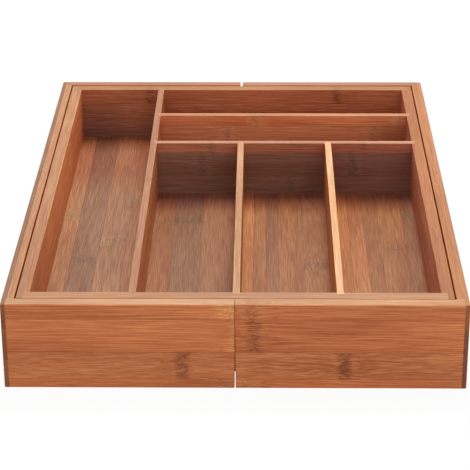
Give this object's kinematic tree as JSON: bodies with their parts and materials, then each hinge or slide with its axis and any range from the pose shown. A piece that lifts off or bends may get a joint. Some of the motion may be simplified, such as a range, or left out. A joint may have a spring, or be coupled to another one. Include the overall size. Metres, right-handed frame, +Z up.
{
  "type": "expanding cutlery tray",
  "caption": "Expanding bamboo drawer tray for cutlery: a pocketed centre tray inside two wings that slide out to the sides on hidden guide pins.",
  "frame": {"origin": "on the surface that the tray stands on, under the middle of the closed tray", "axes": "+X to the right wing, +Y from the front to the back of the drawer, +Z up"},
  "size_m": [0.33, 0.455, 0.0665],
  "materials": {
    "frame_bamboo": "oiled carbonised bamboo",
    "wall_bamboo": "oiled carbonised bamboo",
    "divider_bamboo": "oiled carbonised bamboo",
    "floor_bamboo": "oiled carbonised bamboo board in glued strips",
    "dowel_wood": "plain turned dowel"
  },
  "bodies": {
    "centre_tray": {"front_wall": "wall_bamboo", "back_wall": "wall_bamboo", "left_wall": "wall_bamboo", "right_wall": "wall_bamboo", "tray_floor": "floor_bamboo", "long_divider": "divider_bamboo", "rear_cross_divider": "divider_bamboo", "front_cross_divider": "divider_bamboo", "left_short_divider": "divider_bamboo", "right_short_divider": "divider_bamboo", "front_left_guide_pin": "dowel_wood", "front_right_guide_pin": "dowel_wood", "back_left_guide_pin": "dowel_wood", "back_right_guide_pin": "dowel_wood"},
    "left_wing": {"left_wing_side_board": "frame_bamboo", "left_wing_front_rail": "frame_bamboo", "left_wing_back_rail": "frame_bamboo", "left_wing_floor": "floor_bamboo"},
    "right_wing": {"right_wing_side_board": "frame_bamboo", "right_wing_front_rail": "frame_bamboo", "right_wing_back_rail": "frame_bamboo", "right_wing_floor": "floor_bamboo"}
  },
  "joints": [
    {"name": "left_wing_slide", "type": "slide", "parent": "centre_tray", "child": "left_wing", "axis": [-1, 0, 0], "range_m": [0, 0.125]},
    {"name": "right_wing_slide", "type": "slide", "parent": "centre_tray", "child": "right_wing", "axis": [1, 0, 0], "range_m": [0, 0.125]}
  ]
}
